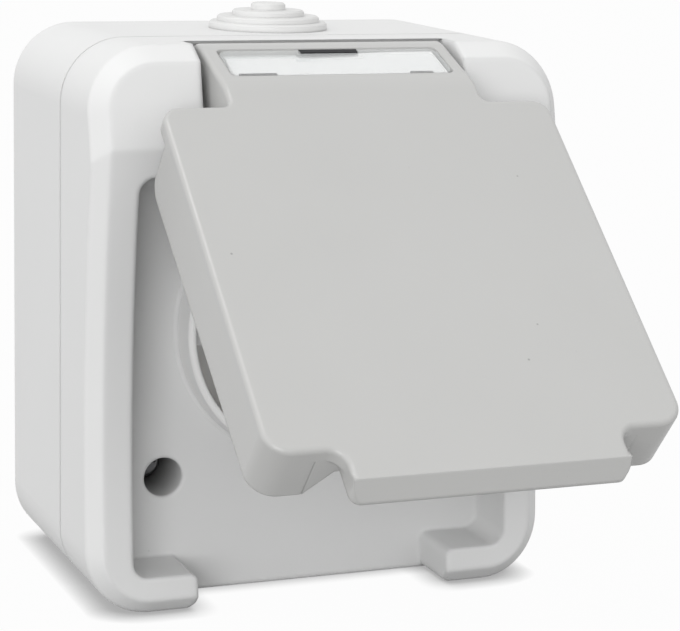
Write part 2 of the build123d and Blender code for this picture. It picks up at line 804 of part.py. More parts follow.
def label_window():
    """Clear cover of the label, with a slot to lift it out and small lugs along its foot."""
    half = window_height / 2
    shape = window_outline() - lift_slot()
    notch = Rectangle(window_lug_width, window_lug_height)
    for lug in range(window_lugs):
        x = (lug - (window_lugs - 1) / 2) * window_lug_pitch
        shape -= Pos(x, window_lug_height / 2 - half) * notch
    return opened(extrude(window_plane() * shape, -window_thickness))


def label_card():
    """Blank white card under the window."""
    shape = Rectangle(window_width - 2 * card_margin, window_height - 2 * card_margin) - lift_slot()
    return opened(extrude(window_plane().offset(-window_thickness) * shape, -card_thickness))


def lid_seal():
    """Rubber ring on the lid's rib, opposite the collar."""
    return opened(lid_ring(*seal_depths()))


def hinge_pins():
    """Two stub pins, pressed into the lid's arms and turning in the cover."""
    half = tongue_width / 2
    end = half + hinge_side_gap + pin_engage
    return [opened(cross_rod(pin_radius, *stretch(side, half - pin_hold, end))) for side in (-1, 1)]


line_place, neutral_place, earth_place = terminal_places()
nodes = {
    "rear_box": rear_box(),
    "box_gasket": box_gasket(),
    "front_cover": front_cover(),
    "cover_screws": Compound(cover_screws()),
    "screw_seals": Compound(screw_seals()),
    "top_grommet": top_grommet(),
    "socket_insert": socket_insert(),
    "insert_screws": Compound(insert_screws()),
    "contact_carrier": contact_carrier(),
    "line_contact": tulip(-1),
    "neutral_contact": tulip(1),
    "earth_clip": earth_clip(),
    "line_terminal": terminal(line_place, leaf_thickness),
    "neutral_terminal": terminal(neutral_place, leaf_thickness),
    "earth_terminal": terminal(earth_place, earth_thickness),
    "terminal_screws": Compound([
        terminal_screw(line_place, leaf_thickness),
        terminal_screw(neutral_place, leaf_thickness),
        terminal_screw(earth_place, earth_thickness),
    ]),
    "lid_shell": lid_shell(),
    "lid_seal": lid_seal(),
    "label_window": label_window(),
    "label_card": label_card(),
    "hinge_pins": Compound(hinge_pins()),
}

os.makedirs("parts", exist_ok=True)
for name, shape in nodes.items():
    export_step(shape, f"parts/{name}.step")
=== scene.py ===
import math

import bpy
import numpy as np
from mathutils import Matrix, Vector


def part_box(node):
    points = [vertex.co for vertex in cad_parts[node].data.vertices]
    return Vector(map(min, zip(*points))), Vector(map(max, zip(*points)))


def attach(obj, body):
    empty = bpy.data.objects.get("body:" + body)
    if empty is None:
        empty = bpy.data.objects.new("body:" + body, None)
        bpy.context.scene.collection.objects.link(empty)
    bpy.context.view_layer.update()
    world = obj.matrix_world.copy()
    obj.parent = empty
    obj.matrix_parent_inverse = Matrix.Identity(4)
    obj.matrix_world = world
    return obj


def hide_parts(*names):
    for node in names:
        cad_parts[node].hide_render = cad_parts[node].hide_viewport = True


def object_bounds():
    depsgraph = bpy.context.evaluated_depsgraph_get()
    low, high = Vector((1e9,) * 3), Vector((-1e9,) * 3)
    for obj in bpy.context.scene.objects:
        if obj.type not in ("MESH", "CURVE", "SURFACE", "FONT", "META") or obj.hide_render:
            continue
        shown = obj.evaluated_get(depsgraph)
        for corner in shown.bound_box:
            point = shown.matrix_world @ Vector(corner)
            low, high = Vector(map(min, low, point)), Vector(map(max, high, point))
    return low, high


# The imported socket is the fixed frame: every section below dresses some of its nodes, in metres.
# The origin is the centre of the wall face, -Y is the front and +Z is up.
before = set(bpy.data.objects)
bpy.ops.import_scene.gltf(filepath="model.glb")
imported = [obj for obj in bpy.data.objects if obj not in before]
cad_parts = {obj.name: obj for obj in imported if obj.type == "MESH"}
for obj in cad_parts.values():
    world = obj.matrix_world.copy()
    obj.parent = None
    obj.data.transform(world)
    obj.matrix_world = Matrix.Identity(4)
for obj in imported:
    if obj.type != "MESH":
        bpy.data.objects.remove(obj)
cad_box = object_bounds()


# Rear box: the light grey tray that is screwed to the wall, injection moulded in a tough thermoplastic.
# Its mould is spark eroded, so the skin is a fine even matt with a faint cloudy tone, and no edge is
# quite sharp.
MM = 0.001
BOX_GREY = (0.690, 0.692, 0.690)
SHELL_EDGE = 0.45
GRAIN_PITCH = 0.35 * MM
GRAIN_DETAIL = 2
CLOUD_PITCH = 22 * MM
CLOUD_DETAIL = 3
NOISE_MIDDLE = 0.5
ROUGHNESS_SWING = 0.10
SPECK_PITCH = 6.5 * MM
SPECK_CORE = 0.020
SPECK_RIM = 0.034
EDGE_RAYS = 8


def link_all(tree, *pairs):
    """Links each pair of an output and an input socket."""
    for source, target in pairs:
        tree.links.new(source, target)


def add_node(tree, kind, at, **settings):
    """New shader node at a place, with its properties set."""
    node = tree.nodes.new(kind)
    node.location = at
    for key, value in settings.items():
        setattr(node, key, value)
    return node


def add_sockets(group, inputs, outputs):
    """Named sockets of a node group: each name with its kind, Color or Float."""
    for way, sockets in (("INPUT", inputs), ("OUTPUT", outputs)):
        for name, kind in sockets.items():
            group.interface.new_socket(name, in_out=way, socket_type="NodeSocket" + kind)


def moulded_skin_group():
    """Skin of a spark-eroded moulding.

    Colour = base x (1 + cloud x (soft noise - middle)) x (1 - specks x dot mask), roughness follows the
    same soft noise, and the height is a fine noise at the pitch of the grain.
    """
    group = bpy.data.node_groups.new("moulded_skin", "ShaderNodeTree")
    add_sockets(
        group,
        {"Base": "Color", "Cloud": "Float", "Specks": "Float", "Roughness": "Float"},
        {"Color": "Color", "Roughness": "Float", "Height": "Float"},
    )
    given = add_node(group, "NodeGroupInput", (-900, 0))
    result = add_node(group, "NodeGroupOutput", (900, 0))
    place = add_node(group, "ShaderNodeTexCoord", (-900, -300))
    cloud = add_node(group, "ShaderNodeTexNoise", (-600, 200))
    cloud.inputs["Scale"].default_value = 1 / CLOUD_PITCH
    cloud.inputs["Detail"].default_value = CLOUD_DETAIL
    grain = add_node(group, "ShaderNodeTexNoise", (-600, -100))
    grain.inputs["Scale"].default_value = 1 / GRAIN_PITCH
    grain.inputs["Detail"].default_value = GRAIN_DETAIL
    speck = add_node(group, "ShaderNodeTexVoronoi", (-600, -400))
    speck.inputs["Scale"].default_value = 1 / SPECK_PITCH
    for texture in (cloud, grain, speck):
        group.links.new(place.outputs["Object"], texture.inputs["Vector"])
    centred = add_node(group, "ShaderNodeMath", (-380, 200), operation="SUBTRACT")
    centred.inputs[1].default_value = NOISE_MIDDLE
    swing = add_node(group, "ShaderNodeMath", (-200, 200), operation="MULTIPLY_ADD")
    swing.inputs[2].default_value = 1.0
    dot = add_node(group, "ShaderNodeMapRange", (-380, -400))
    dot.inputs["From Min"].default_value = SPECK_CORE
    dot.inputs["From Max"].default_value = SPECK_RIM
    dot.inputs["To Min"].default_value = 1.0
    dot.inputs["To Max"].default_value = 0.0
    depth = add_node(group, "ShaderNodeMath", (-200, -400), operation="MULTIPLY")
    keep = add_node(group, "ShaderNodeMath", (-20, -400), operation="SUBTRACT")
    keep.inputs[0].default_value = 1.0
    level = add_node(group, "ShaderNodeMath", (160, 100), operation="MULTIPLY")
    tint = add_node(group, "ShaderNodeVectorMath", (360, 100), operation="SCALE")
    rough = add_node(group, "ShaderNodeMath", (360, -150), operation="MULTIPLY_ADD")
    rough.inputs[1].default_value = ROUGHNESS_SWING
    link_all(
        group,
        (cloud.outputs["Fac"], centred.inputs[0]),
        (centred.outputs[0], swing.inputs[0]),
        (given.outputs["Cloud"], swing.inputs[1]),
        (speck.outputs["Distance"], dot.inputs["Value"]),
        (dot.outputs["Result"], depth.inputs[0]),
        (given.outputs["Specks"], depth.inputs[1]),
        (depth.outputs[0], keep.inputs[1]),
        (swing.outputs[0], level.inputs[0]),
        (keep.outputs[0], level.inputs[1]),
        (given.outputs["Base"], tint.inputs[0]),
        (level.outputs[0], tint.inputs["Scale"]),
        (centred.outputs[0], rough.inputs[0]),
        (given.outputs["Roughness"], rough.inputs[2]),
        (tint.outputs[0], result.inputs["Color"]),
        (rough.outputs[0], result.inputs["Roughness"]),
        (grain.outputs["Fac"], result.inputs["Height"]),
    )
    return group


MOULDED_SKIN = moulded_skin_group()


def moulded(
    name, colour, cloud=0.05, specks=0.0, roughness=0.50, grain=0.008, edge=SHELL_EDGE, shine=0.35
):
    """Moulded material: the shared skin with its own colour and finish.

    Cloud and specks are shares of the colour, grain is the depth of the grain and edge the radius that
    softens the edges, both in mm, and shine is the strength of the reflection.
    """
    material = bpy.data.materials.new(name)
    material.use_nodes = True
    tree = material.node_tree
    shader = tree.nodes["Principled BSDF"]
    shader.inputs["Specular IOR Level"].default_value = shine
    skin = add_node(tree, "ShaderNodeGroup", (-500, 0), node_tree=MOULDED_SKIN)
    skin.inputs["Base"].default_value = (*colour, 1)
    skin.inputs["Cloud"].default_value = cloud
    skin.inputs["Specks"].default_value = specks
    skin.inputs["Roughness"].default_value = roughness
    soft = add_node(tree, "ShaderNodeBevel", (-500, -350), samples=EDGE_RAYS)
    soft.inputs["Radius"].default_value = edge * MM
    bump = add_node(tree, "ShaderNodeBump", (-250, -200))
    bump.inputs["Distance"].default_value = grain * MM
    link_all(
        tree,
        (skin.outputs["Color"], shader.inputs["Base Color"]),
        (skin.outputs["Roughness"], shader.inputs["Roughness"]),
        (skin.outputs["Height"], bump.inputs["Height"]),
        (soft.outputs["Normal"], bump.inputs["Normal"]),
        (bump.outputs["Normal"], shader.inputs["Normal"]),
    )
    return material


def dress(material, *names):
    """Gives carried-over nodes their material."""
    for name in names:
        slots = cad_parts[name].data.materials
        slots.clear()
        slots.append(material)


box_grey = moulded("box_grey", BOX_GREY)
dress(box_grey, "rear_box")


# Gasket between box and cover: a flat ring stamped from a sheet of soft black rubber. It lies on the rim of
# the box and is pressed in the seam when the cover is screwed down.
RUBBER_BLACK = (0.030, 0.030, 0.032)
soft_black = moulded(
    "soft_black_rubber", RUBBER_BLACK, cloud=0.25, roughness=0.72, grain=0.02, edge=0.2, shine=0.25
)
dress(soft_black, "box_gasket")


# Front cover: the hood with the two rails, the visor and the recess, moulded in the same grey as the
# box and screwed to it. A stray dark grain shows in the skin here and there, and painted shade darkens
# the bores of the two screw wells towards the bottom.
PLATE_DEPTH = 35.6 * MM
SHADE_REACH = 3.2 * MM
WELL_MOUTH = 0.6 * MM
WELL_DEPTH = 13 * MM
WELL_SHADE = 0.20
SCREW_HEAD = 2.7 * MM


def film_in_wells(material, axes):
    """Paints shade into a moulded skin inside bores along Y: 1 - (1 - shade) x depth share, where the
    distance from a bore's axis is within the shade's reach, which is just over the bore's radius."""
    tree = material.node_tree
    shader, skin = tree.nodes["Principled BSDF"], tree.nodes["Group"]
    place = add_node(tree, "ShaderNodeTexCoord", (-1300, 400))
    part = add_node(tree, "ShaderNodeSeparateXYZ", (-1100, 200))
    deep = add_node(tree, "ShaderNodeMapRange", (-900, 200))
    deep.inputs["From Min"].default_value = -PLATE_DEPTH + WELL_MOUTH
    deep.inputs["From Max"].default_value = -PLATE_DEPTH + WELL_DEPTH
    deep.inputs["To Max"].default_value = 1 - WELL_SHADE
    inside = add_node(tree, "ShaderNodeMath", (-500, 500), operation="MAXIMUM")
    for number, (x, z) in enumerate(axes):
        row = 700 - 300 * number
        across = add_node(tree, "ShaderNodeVectorMath", (-1100, row), operation="MULTIPLY_ADD")
        across.inputs[1].default_value = (1, 0, 1)
        across.inputs[2].default_value = (-x, 0, -z)
        away = add_node(tree, "ShaderNodeVectorMath", (-900, row), operation="LENGTH")
        near = add_node(tree, "ShaderNodeMath", (-700, row), operation="LESS_THAN")
        near.inputs[1].default_value = SHADE_REACH
        link_all(
            tree,
            (place.outputs["Object"], across.inputs[0]),
            (across.outputs[0], away.inputs[0]),
            (away.outputs["Value"], near.inputs[0]),
            (near.outputs[0], inside.inputs[number]),
        )
    film = add_node(tree, "ShaderNodeMath", (-300, 400), operation="MULTIPLY")
    keep = add_node(tree, "ShaderNodeMath", (-100, 400), operation="SUBTRACT")
    keep.inputs[0].default_value = 1.0
    tint = add_node(tree, "ShaderNodeVectorMath", (100, 300), operation="SCALE")
    link_all(
        tree,
        (place.outputs["Object"], part.inputs[0]),
        (part.outputs["Y"], deep.inputs["Value"]),
        (inside.outputs[0], film.inputs[0]),
        (deep.outputs["Result"], film.inputs[1]),
        (film.outputs[0], keep.inputs[1]),
        (skin.outputs["Color"], tint.inputs[0]),
        (keep.outputs[0], tint.inputs["Scale"]),
        (tint.outputs[0], shader.inputs["Base Color"]),
    )


screws_low, screws_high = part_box("cover_screws")
well_axes = (
    (screws_low[0] + SCREW_HEAD, screws_low[2] + SCREW_HEAD),
    (screws_high[0] - SCREW_HEAD, screws_high[2] - SCREW_HEAD),
)
cover_grey = moulded("cover_grey", BOX_GREY, specks=0.12, edge=1.2)
# The darkening inside the two screw wells is painted shade.
film_in_wells(cover_grey, well_axes)
dress(cover_grey, "front_cover")


# Cover screws and their washers: zinc-plated cross-head screws deep in the wells of the plate, each on a
# black rubber washer. The heads are turned, so fine tool marks show through the plating.
ZINC = (0.34, 0.34, 0.35)
PLATING_PITCH = 1.5 * MM
STAIN_DETAIL = 4
MARK_PITCH = 0.754 * MM
MARK_WANDER = 1.5
WAVE_RADIANS = 20


def metal_skin_group():
    """Skin of worked metal: colour = base x (1 - stain x soft noise), roughness rises with the stain,
    and the height is rings about the Y axis at the pitch of the tool marks, which cross a small piece as
    fine streaks. The wave texture turns by its own number of radians over one unit of length."""
    group = bpy.data.node_groups.new("metal_skin", "ShaderNodeTree")
    add_sockets(
        group,
        {"Base": "Color", "Stain": "Float", "Roughness": "Float"},
        {"Color": "Color", "Roughness": "Float", "Height": "Float"},
    )
    given = add_node(group, "NodeGroupInput", (-900, 0))
    result = add_node(group, "NodeGroupOutput", (700, 0))
    place = add_node(group, "ShaderNodeTexCoord", (-900, -300))
    stain = add_node(group, "ShaderNodeTexNoise", (-600, 100))
    stain.inputs["Scale"].default_value = 1 / PLATING_PITCH
    stain.inputs["Detail"].default_value = STAIN_DETAIL
    marks = add_node(group, "ShaderNodeTexWave", (-600, -250), wave_type="RINGS", rings_direction="Y")
    marks.inputs["Scale"].default_value = 2 * math.pi / (WAVE_RADIANS * MARK_PITCH)
    marks.inputs["Distortion"].default_value = MARK_WANDER
    share = add_node(group, "ShaderNodeMath", (-380, 100), operation="MULTIPLY")
    keep = add_node(group, "ShaderNodeMath", (-200, 100), operation="SUBTRACT")
    keep.inputs[0].default_value = 1.0
    tint = add_node(group, "ShaderNodeVectorMath", (0, 100), operation="SCALE")
    rough = add_node(group, "ShaderNodeMath", (0, -100), operation="ADD")
    link_all(
        group,
        (place.outputs["Object"], stain.inputs["Vector"]),
        (place.outputs["Object"], marks.inputs["Vector"]),
        (stain.outputs["Fac"], share.inputs[0]),
        (given.outputs["Stain"], share.inputs[1]),
        (share.outputs[0], keep.inputs[1]),
        (given.outputs["Base"], tint.inputs[0]),
        (keep.outputs[0], tint.inputs["Scale"]),
        (share.outputs[0], rough.inputs[0]),
        (given.outputs["Roughness"], rough.inputs[1]),
        (tint.outputs[0], result.inputs["Color"]),
        (rough.outputs[0], result.inputs["Roughness"]),
        (marks.outputs["Fac"], result.inputs["Height"]),
    )
    return group


METAL_SKIN = metal_skin_group()


def metal(name, colour, stain, roughness, marks=0.004):
    """Worked metal: the shared skin with its own colour, stain and depth of tool marks in mm."""
    material = bpy.data.materials.new(name)
    material.use_nodes = True
    tree = material.node_tree
    shader = tree.nodes["Principled BSDF"]
    shader.inputs["Metallic"].default_value = 1.0
    skin = add_node(tree, "ShaderNodeGroup", (-500, 0), node_tree=METAL_SKIN)
    skin.inputs["Base"].default_value = (*colour, 1)
    skin.inputs["Stain"].default_value = stain
    skin.inputs["Roughness"].default_value = roughness
    bump = add_node(tree, "ShaderNodeBump", (-250, -200))
    bump.inputs["Distance"].default_value = marks * MM
    link_all(
        tree,
        (skin.outputs["Color"], shader.inputs["Base Color"]),
        (skin.outputs["Roughness"], shader.inputs["Roughness"]),
        (skin.outputs["Height"], bump.inputs["Height"]),
        (bump.outputs["Normal"], shader.inputs["Normal"]),
    )
    return material


zinc_plate = metal("zinc_plate", ZINC, stain=0.35, roughness=0.28)
dress(zinc_plate, "cover_screws")
dress(soft_black, "screw_seals")


# Cable entry: a stepped membrane of soft pale rubber, moulded in one and snapped into the top of the box.
# The rubber is a shade deeper than the plastic round it, and its steps are softly rounded.
RUBBER_PALE = (0.650, 0.650, 0.645)
pale_rubber = moulded(
    "pale_rubber", RUBBER_PALE, cloud=0.06, roughness=0.46, grain=0.006, edge=0.8, shine=0.30
)
dress(pale_rubber, "top_grommet")


# Socket insert: the round cup for the plug, moulded in a paler grey than the box with a smoother skin, and
# held behind the cover by two screws through its ears.
INSERT_GREY = (0.815, 0.815, 0.810)
insert_grey = moulded(
    "insert_grey", INSERT_GREY, cloud=0.04, roughness=0.40, grain=0.004, edge=0.5, shine=0.45
)
dress(insert_grey, "socket_insert")
dress(zinc_plate, "insert_screws")


# Collar bead: the soft root of the collar, a thin bead that closes the gap between the cup and the plate.
# It is of the cover's own grey and runs once round.
COLLAR_RADIUS = 21.0 * MM
COLLAR_MIDDLE = -1.0 * MM
BEAD_ROUND = 0.7 * MM
BEAD_ROOT = 0.12 * MM


def collar_bead(turns=180, steps=9):
    """Profile carried round a circle: a hollow quarter arc from the plate up to the collar, then a root
    that goes under both.

    With the collar's radius R, the bead's rounding r and its root's depth d, the arc has the radius
    R - d / 2 + r (1 - sin b) and the height r (1 - cos b) for b from 0 to 90 degrees.
    """
    bend = np.linspace(0, math.pi / 2, steps)
    radius = COLLAR_RADIUS - BEAD_ROOT / 2 + BEAD_ROUND * (1 - np.sin(bend))
    height = BEAD_ROUND * (1 - np.cos(bend))
    radius = np.concatenate([radius, [COLLAR_RADIUS - BEAD_ROOT, COLLAR_RADIUS + BEAD_ROUND]])
    height = np.concatenate([height, [-BEAD_ROOT, -BEAD_ROOT]])
    angle = np.linspace(0, 2 * math.pi, turns, endpoint=False)[:, None]
    x, z = radius * np.cos(angle), COLLAR_MIDDLE + radius * np.sin(angle)
    points = np.stack(np.broadcast_arrays(x, -PLATE_DEPTH - height, z), axis=-1).reshape(-1, 3)
    count = len(radius)
    here = np.arange(turns)[:, None] * count
    there = np.roll(here, -1, axis=0)
    low, high = np.arange(count), np.roll(np.arange(count), -1)
    quads = np.stack([here + low, there + low, there + high, here + high], axis=-1)
    return points, quads.reshape(-1, 4).tolist()


def new_piece(name, points, faces, material, body, slot):
    """Mesh object at the origin from points and faces, riding on a body with a material; the slot is not
    used.
    """
    mesh = bpy.data.meshes.new(name)
    mesh.from_pydata(points.tolist(), [], faces)
    mesh.materials.append(material)
    piece = bpy.data.objects.new(name, mesh)
    bpy.context.scene.collection.objects.link(piece)
    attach(piece, body)
    return piece


bead_grey = moulded("bead_grey", BOX_GREY, edge=0.02)
bead = new_piece("collar_bead", *collar_bead(), bead_grey, "housing", "cover_plastic")
bead.data.polygons.foreach_set("use_smooth", np.ones(len(bead.data.polygons), bool))


# Contact carrier: the block that holds the contacts behind the cup, pressed from a dark thermoset. It is
# dull and a little mottled.
CARRIER_DARK = (0.075, 0.075, 0.080)
carrier_dark = moulded("carrier_dark", CARRIER_DARK, cloud=0.30, roughness=0.60, grain=0.015, edge=0.2)
dress(carrier_dark, "contact_carrier")


# Contacts, earth clip and terminals: sprung brass strip and drawn brass blocks in the carrier, with plated
# clamping screws. The strip is brighter than the drawn blocks, which carry a thin tarnish.
STRIP_BRASS = (0.72, 0.53, 0.24)
DRAWN_BRASS = (0.62, 0.45, 0.20)
strip_brass = metal("strip_brass", STRIP_BRASS, stain=0.20, roughness=0.24)
drawn_brass = metal("drawn_brass", DRAWN_BRASS, stain=0.40, roughness=0.34)
dress(strip_brass, "line_contact", "neutral_contact", "earth_clip")
dress(drawn_brass, "line_terminal", "neutral_terminal", "earth_terminal")
dress(zinc_plate, "terminal_screws")


# Lid: the tray-shaped weather lid with its tongue and finger lip, moulded in a darker grey than the box and
# with a silkier skin, in which a few dark grains show. It turns on two stub pins.
LID_GREY = (0.455, 0.455, 0.447)
lid_grey = moulded("lid_grey", LID_GREY, cloud=0.06, specks=0.35, roughness=0.33, edge=0.4, shine=0.5)
dress(lid_grey, "lid_shell")


# Lid seal: a ring of the same soft black rubber as the gasket. It is glued to the rib inside the lid and
# faces the collar when the lid is shut.
dress(soft_black, "lid_seal")


# Label card: a blank white paper card that lies loose in the pocket of the tongue. It was cut a little
# small and askew and has taken a bow, so its right half stands up against the clear cover.
PAPER = (0.80, 0.80, 0.797)
PAPER_DEEP = 0.96
PAPER_ROUGHNESS = 0.8
PAPER_SHINE = 0.2
FIBRE_PITCH = 0.6 * MM
FIBRE_DETAIL = 5
FIBRE_STRETCH = (0.35, 1, 1)
FIBRE_LIFT = 0.01 * MM
FACE_TILT = math.radians(68.4)
CARD_SLANT = 1.0 * MM
CARD_RISE = 0.48 * MM
CARD_HEAD_RISE = 0.35 * MM
CARD_SHEET = 0.16 * MM
BOW_START = 0.25
BOW_END = 0.85


def on_tongue(x, up, out):
    """Places on the tongue's tilted face: x across, up along the face and out along its normal."""
    y = up * math.sin(FACE_TILT) - out * math.cos(FACE_TILT)
    z = up * math.cos(FACE_TILT) + out * math.sin(FACE_TILT)
    return np.stack(np.broadcast_arrays(x, y, z), axis=-1).reshape(-1, 3)


def face_extent(name):
    """Lowest and highest x, up and out of a node on the tongue's tilted face."""
    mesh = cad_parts[name].data
    points = np.empty(3 * len(mesh.vertices))
    mesh.vertices.foreach_get("co", points)
    x, y, z = points.reshape(-1, 3).T
    up = y * math.sin(FACE_TILT) + z * math.cos(FACE_TILT)
    out = z * math.sin(FACE_TILT) - y * math.cos(FACE_TILT)
    placed = np.stack([x, up, out])
    return placed.min(axis=1), placed.max(axis=1)


def smooth_step(low, high, value):
    """Goes from 0 at low to 1 at high along 3 t^2 - 2 t^3."""
    t = np.clip((value - low) / (high - low), 0, 1)
    return t * t * (3 - 2 * t)


def grid_faces(rows, columns):
    """Quads of a grid of points that is stored row by row."""
    corner = np.arange(rows - 1)[:, None] * columns + np.arange(columns - 1)[None, :]
    corner = corner.ravel()
    return np.stack([corner, corner + 1, corner + columns + 1, corner + columns], axis=1).tolist()


def thicken(piece, thickness):
    """Gives a sheet its thickness, half to each side."""
    wall = piece.modifiers.new("wall", "SOLIDIFY")
    wall.thickness = thickness
    wall.offset = 0


def paper(name, colour):
    """Uncoated white card: colour mottled by fine stretched fibres, which also lift the surface."""
    material = bpy.data.materials.new(name)
    material.use_nodes = True
    tree = material.node_tree
    shader = tree.nodes["Principled BSDF"]
    shader.inputs["Roughness"].default_value = PAPER_ROUGHNESS
    shader.inputs["Specular IOR Level"].default_value = PAPER_SHINE
    place = add_node(tree, "ShaderNodeTexCoord", (-900, 0))
    stretch = add_node(tree, "ShaderNodeMapping", (-700, 0))
    stretch.inputs["Scale"].default_value = FIBRE_STRETCH
    fibres = add_node(tree, "ShaderNodeTexNoise", (-500, 0))
    fibres.inputs["Scale"].default_value = 1 / FIBRE_PITCH
    fibres.inputs["Detail"].default_value = FIBRE_DETAIL
    shade = add_node(tree, "ShaderNodeMix", (-250, 100), data_type="RGBA")
    shade.inputs["A"].default_value = (*(PAPER_DEEP * part for part in colour), 1)
    shade.inputs["B"].default_value = (*colour, 1)
    bump = add_node(tree, "ShaderNodeBump", (-250, -200))
    bump.inputs["Distance"].default_value = FIBRE_LIFT
    link_all(
        tree,
        (place.outputs["Object"], stretch.inputs["Vector"]),
        (stretch.outputs["Vector"], fibres.inputs["Vector"]),
        (fibres.outputs["Fac"], shade.inputs["Factor"]),
        (fibres.outputs["Fac"], bump.inputs["Height"]),
        (shade.outputs["Result"], shader.inputs["Base Color"]),
        (bump.outputs["Normal"], shader.inputs["Normal"]),
    )
    return material


def bowed_card(low, high, rows=10, columns=120):
    """Sheet over a grid: x runs from a slanted left end to the right one, and up from foot to head.

    The left end leans by the slant from foot to head. The bow lifts the sheet by a smooth step along x
    from nothing to the full rise, and the head rises with it.
    """
    along, height = np.linspace(0, 1, columns), np.linspace(0, 1, rows)[:, None]
    left = low[0] + CARD_SLANT * height
    x = left + along * (high[0] - left)
    bow = smooth_step(BOW_START, BOW_END, along)
    up = low[1] + height * (high[1] + CARD_HEAD_RISE * bow - low[1])
    return on_tongue(x, up, (low[2] + high[2]) / 2 + CARD_RISE * bow), grid_faces(rows, columns)


card_low, card_high = face_extent("label_card")
card_mesh = bowed_card(card_low, card_high)
card = new_piece("blank_card", *card_mesh, paper("white_card", PAPER), "lid", "card_paper")
thicken(card, CARD_SHEET)
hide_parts("label_card")


# Label cover: the clear cover that snaps into the tongue over the card, moulded in polished plastic as a
# thin plate with a deeper rim. A slot in its upper edge takes a screwdriver to lift it out.
CLEAR_TINT = (0.80, 0.82, 0.82)
CLEAR_ROUGHNESS = 0.07
CLEAR_FACE = 0.08
CLEAR_EDGE = 0.60
CLEAR_BLEND = 0.30
COVER_GROOVE = 0.22 * MM
COVER_CORNER = 1.5 * MM
COVER_PLATE = 0.42 * MM
COVER_RIM = 0.75 * MM
COVER_ROUND = 0.20 * MM
ROUND_MIDDLE = 0.3 * COVER_ROUND
COVER_DEEP = 1.0 * MM
SLOT_HALF = 4.6 * MM
SLOT_DROP = 1.1 * MM
ARC_POINTS = 8


def clear_plastic(name):
    """Clear plastic: see-through face on, and denser towards a grazing view."""
    material = bpy.data.materials.new(name)
    material.use_nodes = True
    tree = material.node_tree
    shader = tree.nodes["Principled BSDF"]
    shader.inputs["Base Color"].default_value = (*CLEAR_TINT, 1)
    shader.inputs["Roughness"].default_value = CLEAR_ROUGHNESS
    facing = add_node(tree, "ShaderNodeLayerWeight", (-500, -100))
    facing.inputs["Blend"].default_value = CLEAR_BLEND
    share = add_node(tree, "ShaderNodeMapRange", (-250, -100))
    share.inputs["To Min"].default_value = CLEAR_FACE
    share.inputs["To Max"].default_value = CLEAR_EDGE
    link_all(
        tree,
        (facing.outputs["Facing"], share.inputs["Value"]),
        (share.outputs["Result"], shader.inputs["Alpha"]),
    )
    return material


def slotted_outline(left, right, foot, head):
    """Closed outline, turning left: a rectangle with four quarter-circle corners and a slot in its head."""
    turn = np.linspace(0, math.pi / 2, ARC_POINTS)
    arc = COVER_CORNER * np.stack([np.cos(turn), np.sin(turn)], axis=1)
    quarter = np.array([[0, 1], [-1, 0]])
    upper_right = np.array([right - COVER_CORNER, head - COVER_CORNER]) + arc
    upper_left = np.array([left + COVER_CORNER, head - COVER_CORNER]) + arc @ quarter
    lower_left = np.array([left + COVER_CORNER, foot + COVER_CORNER]) - arc
    lower_right = np.array([right - COVER_CORNER, foot + COVER_CORNER]) - arc @ quarter
    slot = np.array([
        [SLOT_HALF, head],
        [SLOT_HALF, head - SLOT_DROP],
        [-SLOT_HALF, head - SLOT_DROP],
        [-SLOT_HALF, head],
    ])
    return np.concatenate([upper_right, slot, upper_left, lower_left, lower_right])


def rimmed_plate(outline, face):
    """Profile carried round an outline: rounded upper edge, side, rim and the underside of the plate.

    Each profile point is an inset from the outline and a depth under the face. The inset goes along the
    mitred normal, (n1 + n2) / (1 + n1 . n2), of the two sides that meet at a point.
    """
    ahead = np.roll(outline, -1, axis=0) - outline
    ahead /= np.linalg.norm(ahead, axis=1, keepdims=True)
    after = np.stack([ahead[:, 1], -ahead[:, 0]], axis=1)
    before = np.roll(after, 1, axis=0)
    mitre = (before + after) / (1 + np.sum(before * after, axis=1, keepdims=True))
    profile = np.array([
        [COVER_ROUND, 0],
        [ROUND_MIDDLE, ROUND_MIDDLE],
        [0, COVER_ROUND],
        [0, COVER_DEEP],
        [COVER_RIM, COVER_DEEP],
        [COVER_RIM, COVER_PLATE],
    ])
    rings = outline[None] - profile[:, :1, None] * mitre[None]
    points = on_tongue(rings[..., 0], rings[..., 1], face - profile[:, 1:] * np.ones(len(outline)))
    count = len(outline)
    ring = np.arange(len(profile) - 1)[:, None] * count
    here, there = ring + np.arange(count), ring + np.roll(np.arange(count), -1)
    sides = np.stack([here, here + count, there + count, there], axis=-1)
    upper = np.arange(count).tolist()
    under = (np.arange(count)[::-1] + (len(profile) - 1) * count).tolist()
    return points, sides.reshape(-1, 4).tolist() + [upper, under]


window_low, window_high = face_extent("label_window")
cover_outline = slotted_outline(window_low[0], window_high[0], window_low[1], window_high[1] - COVER_GROOVE)
cover_mesh = rimmed_plate(cover_outline, window_high[2])
label_cover = new_piece("label_cover", *cover_mesh, clear_plastic("clear_cover"), "lid", "window_clear")
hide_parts("label_window")


# Slot strip and foot hooks: a sheet of black rubber set in the cover's slot, which is painted shade for
# the deep slot, and two small hooks in the pocket that hold the cover's foot, whose dark grey is painted
# shade.
HOOK_SHADE = (0.30, 0.30, 0.30)
STRIP_SUNK = 0.30 * MM
STRIP_GAP = 0.20 * MM
STRIP_WALL = 0.40 * MM
HOOK_HEIGHT = 0.55 * MM
HOOK_SUNK = 0.12 * MM
HOOK_WALL = 0.24 * MM
HOOK_SPANS = ((-16.4 * MM, -10.6 * MM), (10.6 * MM, 14.2 * MM))


def flat_strip(left, right, foot, head, level, rows=3, columns=12):
    """Flat sheet over a grid, at one level under or over the tongue's face."""
    x, up = np.linspace(left, right, columns), np.linspace(foot, head, rows)[:, None]
    return on_tongue(x, up, np.full((rows, columns), level)), grid_faces(rows, columns)


